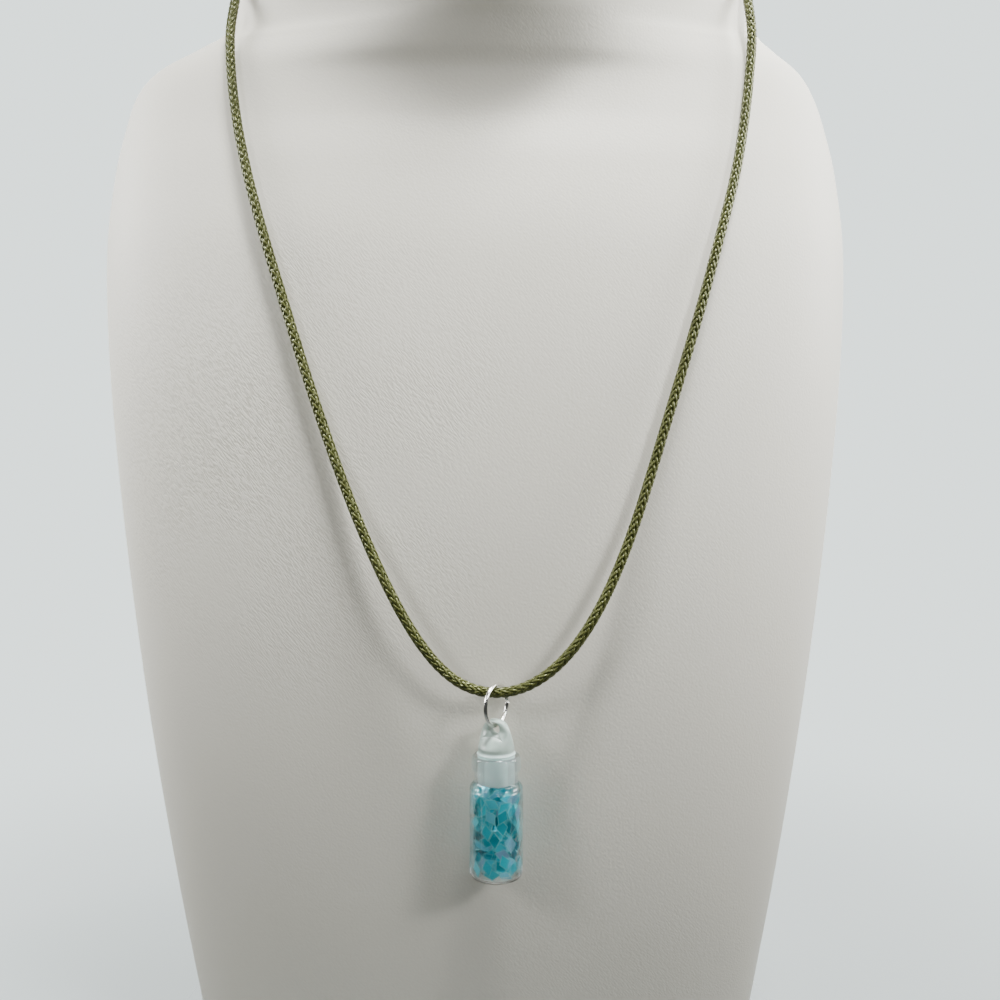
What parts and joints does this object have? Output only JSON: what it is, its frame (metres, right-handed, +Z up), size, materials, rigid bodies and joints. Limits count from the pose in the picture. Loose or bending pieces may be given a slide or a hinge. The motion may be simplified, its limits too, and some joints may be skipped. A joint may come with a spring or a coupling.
{
  "type": "bottle pendant necklace on a neck bust",
  "caption": "Small stoppered glass bottle of glitter flakes, hung by a jump ring on a braided cord loop round a plain leatherette neck bust.",
  "frame": {"origin": "middle of the bust's flat base", "axes": "+Z up, -Y out of the chest towards the viewer, +X to the viewer's right"},
  "size_m": [0.1552, 0.0881, 0.255],
  "materials": {
    "bust_leatherette": "fine-grained matt leatherette",
    "cord_braid": "waxed round braid",
    "clasp_metal": "polished plating",
    "ring_metal": "polished plating",
    "stopper_plastic": "milky, translucent, smooth",
    "bottle_glass": "clear, polished",
    "glitter_foil": "metallised turquoise foil"
  },
  "bodies": {
    "display": {"neck_bust": "bust_leatherette", "cord": "cord_braid", "clasp": "clasp_metal"},
    "ring": {"jump_ring": "ring_metal"},
    "stopper": {"stopper": "stopper_plastic"},
    "bottle": {"bottle": "bottle_glass", "glitter": "glitter_foil"}
  },
  "joints": [
    {"name": "ring_swing", "type": "hinge", "parent": "display", "child": "ring", "pos_m": [0.0045, -0.045, 0.0835], "axis": [-1, 0, 0], "range_deg": [0, 75]},
    {"name": "pendant_swing", "type": "hinge", "parent": "ring", "child": "stopper", "pos_m": [0.0045, -0.045, 0.0774], "axis": [-0.515, -0.8572, 0], "range_deg": [0, 60]},
    {"name": "bottle_pull", "type": "slide", "parent": "stopper", "child": "bottle", "axis": [0, 0, -1], "range_m": [0, 0.01]}
  ]
}
